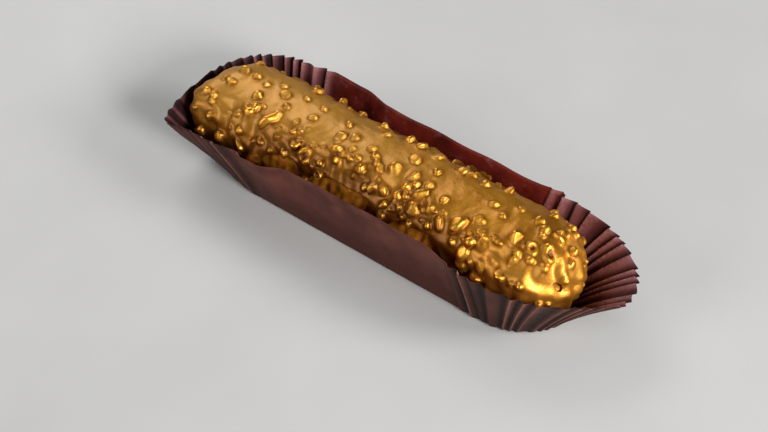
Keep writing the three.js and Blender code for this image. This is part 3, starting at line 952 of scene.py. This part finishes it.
def mottle(tree, patchSize, grainSize):  # sizes in millimetres
    sizes = {"Patch Size": patchSize, "Grain Size": grainSize}
    node = addNode(tree, "Group", {"node_tree": softMottle}, sizes)
    return node.outputs["Patches"], node.outputs["Grain"]


def addBump(tree, shader, heights, layers):  # each layer is strength and depth in millimetres
    below = {}
    for height, (strength, depth) in zip(heights, layers):
        inputs = {"Height": height, "Strength": strength, "Distance": depth * mm, **below}
        below = {"Normal": addNode(tree, "Bump", {}, inputs).outputs["Normal"]}
    setInputs(tree, shader, below)


glazeLooks = {
    "patches": (9, 0.5), "pits": (0.9, 1.9),    # sizes in millimetres
    "golden": [(0.32, (192, 120, 20)), (0.5, (205, 135, 28)), (0.68, (218, 150, 38))],
    "layers": [                    # mark, from and to, how much of the colour at each, and the colour
        # dust on the gold and painted sheen: paler tan on the top and towards the left
        ("dusty", (0, 1, 0.1, 0.75), (194, 141, 60)),
        # painted light on the right end
        ("lustrous", (0, 1, 0, 0.55), (238, 168, 66)),
        # painted shade: darker ochre where the glaze lies low between the bits
        ("between", (0.03, 0.35, 0, 0.8), (120, 68, 5)),
        # painted shade lower down the sides
        ("thinned", (0, 1, 0, 0.85), (118, 66, 8)),
        # painted highlight: the bits that stand out are a brighter gold
        ("standsOut", (0.4, 1.1, 0, 1), (247, 176, 60)),
        # painted shade: dark brown in small hollows
        ("crevice", (0.02, 0.2, 0, 0.7), (92, 50, 3)),
        ("bitten", (0, 1, 0, 0.8), (112, 56, 16)),
    ],
    "specular": (255, 220, 150), "specularLevel": 0.7,
    "coat": 0.4, "coatRoughness": 0.32,
    "metallic": (0, 1, 0.82, 0.55),             # by dust and sheen
    "roughness": (0.35, 0.7, 0.42, 0.5),        # by patches
    "nutRoughness": (0, 1, 1, 0.82),            # by how far it stands out
    "bumps": [(0.5, 0.18), (0.4, 0.16), (0.5, 0.22)],
}


def makeGlazeGold():
    look = glazeLooks
    material, tree, shader = newMaterial("glazeGold")
    patches, grain = mottle(tree, *look["patches"])
    pits, lumps = mottle(tree, *look["pits"])
    color = colorRamp(tree, patches, look["golden"])
    shares = {}
    for mark, change, layer in look["layers"]:
        shares[mark] = mapRange(tree, attributeValue(tree, mark), *change)
        color = mixColor(tree, shares[mark], color, layer)
    sheen = mapRange(tree, attributeValue(tree, "dusty"), *look["metallic"])
    rough = mapRange(tree, patches, *look["roughness"])
    smoother = mapRange(tree, shares["standsOut"], *look["nutRoughness"])
    setInputs(tree, shader, {
        "Base Color": color,
        "Specular Tint": linear(*look["specular"]), "Specular IOR Level": look["specularLevel"],
        "Coat Weight": look["coat"], "Coat Roughness": look["coatRoughness"],
        "Metallic": calculated(tree, "MAXIMUM", sheen, shares["standsOut"]),
        "Roughness": calculated(tree, "MULTIPLY", rough, smoother),
    })
    addBump(tree, shader, (grain, pits, lumps), look["bumps"])
    return material


crustLooks = {
    "patches": (5, 0.6), "smears": (3.2, 1),
    "baked": [(0.32, (166, 92, 26)), (0.5, (190, 114, 36)), (0.68, (210, 136, 48))],
    "gilded": (236, 162, 38), "gildedFrom": (0.46, 0.58),
    "metallic": (0.1, 0.7), "roughness": (0.5, 0.38),
    "bumps": [(0.35, 0.3)],
}


def makeChouxCrust():
    look = crustLooks
    material, tree, shader = newMaterial("chouxCrust")
    patches, grain = mottle(tree, *look["patches"])
    smears = mottle(tree, *look["smears"])[0]
    gilded = mapRange(tree, smears, *look["gildedFrom"])
    setInputs(tree, shader, {
        "Base Color": mixColor(tree, gilded, colorRamp(tree, patches, look["baked"]), look["gilded"]),
        "Metallic": mapRange(tree, gilded, 0, 1, *look["metallic"]),
        "Roughness": mapRange(tree, gilded, 0, 1, *look["roughness"]),
    })
    addBump(tree, shader, [grain], look["bumps"])
    return material


paperLooks = {
    "paperOutside": {
        "sheet": [(0.35, (81, 41, 34)), (0.5, (99, 53, 44)), (0.68, (112, 64, 53))],
        "valleyShade": (20, 7, 4), "creased": (-0.5, 0.8, 0.9, 0),
        "wornHighlight": (152, 113, 97), "wornHighlightFrom": (0.6, 1, 0, 0.85),
        "grease": [(0.36, (70, 33, 25)), (0.6, (78, 39, 30))], "greasyFrom": (0.62, 0.8),
        "soakedShade": (72, 33, 25),
    },
    "paperInside": {
        "sheet": [(0.35, (107, 56, 57)), (0.5, (129, 73, 76)), (0.68, (147, 91, 94))],
        "valleyShade": (20, 6, 5), "creased": (-0.7, 0.1, 0.9, 0),
        "wornHighlight": (198, 144, 146), "wornHighlightFrom": (-0.1, 1, 0, 0.85),
        "grease": [(0.36, (84, 24, 18)), (0.6, (122, 40, 30))], "greasyFrom": (0.2, 0.42),
        "soakedShade": (56, 18, 12),
    },
}

paperSheet = {                     # what both faces share
    "patches": (8, 0.35), "spots": (2.6, 0.9),
    "greasyBelow": (0, 0.8, 1, 0),              # by dryness
    "soakedShadeBelow": (0.25, 0.75, 0.9, 0),        # by height: grease soaked in and painted shade, darker towards the floor
    "ragged": (0.35, 0.6, 0.4, 1),              # by specks
    "roughness": (0.66, 0.45), "specularLevel": 0.2,
    "bumps": [(0.35, 0.1), (0.3, 0.2), (0.4, 0.4)],
}


def makePaper(name):
    look, sheet = paperLooks[name], paperSheet
    material, tree, shader = newMaterial(name)
    patches, grain = mottle(tree, *sheet["patches"])
    spots, specks = mottle(tree, *sheet["spots"])
    ridge, dry, rise, pleated = (attributeValue(tree, key) for key in ("ridge", "dry", "rise", "pleated"))
    blotch = mapRange(tree, spots, *look["greasyFrom"])
    greasy = calculated(tree, "MULTIPLY", blotch, mapRange(tree, dry, *sheet["greasyBelow"]))
    clean, grease = (colorRamp(tree, patches, look[key]) for key in ("sheet", "grease"))
    color = mixColor(tree, greasy, clean, grease)
    # grease soaked in and painted shade: darker towards the floor
    color = mixColor(tree, mapRange(tree, rise, *sheet["soakedShadeBelow"]), color, look["soakedShade"])
    # painted shade in the pleats' inner folds
    valleyShade = calculated(tree, "MULTIPLY", pleated, mapRange(tree, ridge, *look["creased"]))
    color = mixColor(tree, valleyShade, color, look["valleyShade"])
    # wear on the fold lines and painted highlight: lighter on the pleats' ridges
    onRidge = calculated(tree, "MULTIPLY", pleated, mapRange(tree, ridge, *look["wornHighlightFrom"]))
    wornHighlight = calculated(tree, "MULTIPLY", onRidge, mapRange(tree, specks, *sheet["ragged"]))
    setInputs(tree, shader, {
        "Base Color": mixColor(tree, wornHighlight, color, look["wornHighlight"]),
        "Roughness": mapRange(tree, greasy, 0, 1, *sheet["roughness"]),
        "Specular IOR Level": sheet["specularLevel"],
    })
    addBump(tree, shader, (grain, specks, spots), sheet["bumps"])
    return material


# Stage

cameraView = {
    "lens": 85, "sensor": 36, "clip": (0.01, 20),
    "distance": 560, "elevation": 45.29, "roll": -2.8,
    "heading": -40.7,              # of the eclair's length on the floor
    "target": (7.22, -7.14),       # the part's raw origin, seen from the point the camera looks at
}


def turnedFlat(x, y):  # from the floor's axes, X right and Y away in the picture, to the eclair's
    heading = math.radians(cameraView["heading"])
    cos, sin = math.cos(heading), math.sin(heading)
    return [x * cos + y * sin, y * cos - x * sin]


def toPart(x, y, z):  # a point in millimetres, from the floor's axes to the part's own
    targetX, targetY = cameraView["target"]
    return Vector((np.array([*turnedFlat(x - targetX, y - targetY), z]) + offset) * mm)


def addCamera():
    elevation, roll = (math.radians(cameraView[key]) for key in ("elevation", "roll"))
    awayY, awayZ = -math.cos(elevation), math.sin(elevation)
    back = Vector((*turnedFlat(0, awayY), awayZ))
    right = Vector((*turnedFlat(1, 0), 0))
    turnedRight = right * math.cos(roll) + back.cross(right) * math.sin(roll)
    data = bpy.data.cameras.new("camera")
    data.lens, data.sensor_width = cameraView["lens"], cameraView["sensor"]
    data.clip_start, data.clip_end = cameraView["clip"]
    camera = newObject("camera", data)
    turned = Matrix((turnedRight, back.cross(turnedRight), back)).transposed().to_4x4()
    distance = cameraView["distance"]
    eye = toPart(0, distance * awayY, distance * awayZ)
    camera.matrix_world = Matrix.Translation(eye) @ turned
    bpy.context.scene.camera = camera


# Degrees from the picture's right towards the far side, degrees up, metres away and wide, watts, colour
lights = {
    "key": (-56, 28, 1.15, 0.34, 11, (1, 0.99, 0.97)),
    "right": (-18, 28, 1.15, 0.34, 6.5, (1, 0.99, 0.97)),
    "farLeft": (114, 41, 0.53, 0.35, 1, (1, 1, 1)),
    "left": (203, 26, 1.15, 0.6, 4, (1, 1, 1)),
}
skyStrength = 0.04


def addLights():
    for name, (around, up, away, size, power, color) in lights.items():
        data = bpy.data.lights.new(name, "AREA")
        data.size, data.energy, data.color = size, power, color
        around, up, away = math.radians(around), math.radians(up), away / mm
        level = away * math.cos(up)
        light = newObject(name, data)
        light.location = toPart(level * math.cos(around), level * math.sin(around), away * math.sin(up))
        light.rotation_euler = (-light.location).to_track_quat("-Z", "Y").to_euler()
    world = bpy.data.worlds.new("studio")
    world.use_nodes = True
    sky = world.node_tree.nodes["Background"]
    sky.inputs["Color"].default_value = (1, 1, 1, 1)
    sky.inputs["Strength"].default_value = skyStrength
    bpy.context.scene.world = world


floorLooks = {
    "halfSize": 3000, "below": 0.05,            # in millimetres
    "patches": (60, 2), "pale": [(0.3, (203, 203, 202)), (0.7, (210, 210, 209))],
    "roughness": 0.6, "bumps": [(0.1, 0.1)],
}


def addFloor():
    look = floorLooks
    size, z = look["halfSize"], -look["below"]
    corners = [(-size, -size, z), (size, -size, z), (size, size, z), (-size, size, z)]
    floor = newPiece("floor", corners, [[0, 1, 2, 3]])
    material, tree, shader = newMaterial("paleFloor")
    patches, grain = mottle(tree, *look["patches"])
    pale = colorRamp(tree, patches, look["pale"])
    setInputs(tree, shader, {"Base Color": pale, "Roughness": look["roughness"]})
    addBump(tree, shader, [grain], look["bumps"])
    floor.data.materials.append(material)


bpy.context.scene.view_settings.view_transform = "Standard"    # keeps the gold's highlights yellow
addCamera()
addLights()
addFloor()
print("stage: camera, lights and floor")

paperCase = buildCase()
for name in paperLooks:
    paperCase.data.materials.append(makePaper(name))
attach(paperCase, "root")
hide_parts("paper_case")
print("paper case:", len(paperCase.data.vertices), "points")

chouxBun = buildBun()
chouxBun.data.materials.append(makeChouxCrust())
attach(chouxBun, "root")
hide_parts("choux_bun")
print("bun:", len(chouxBun.data.vertices), "points")

nutGlaze = buildGlaze()
nutGlaze.data.materials.append(makeGlazeGold())
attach(nutGlaze, "root")
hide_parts("nut_glaze")
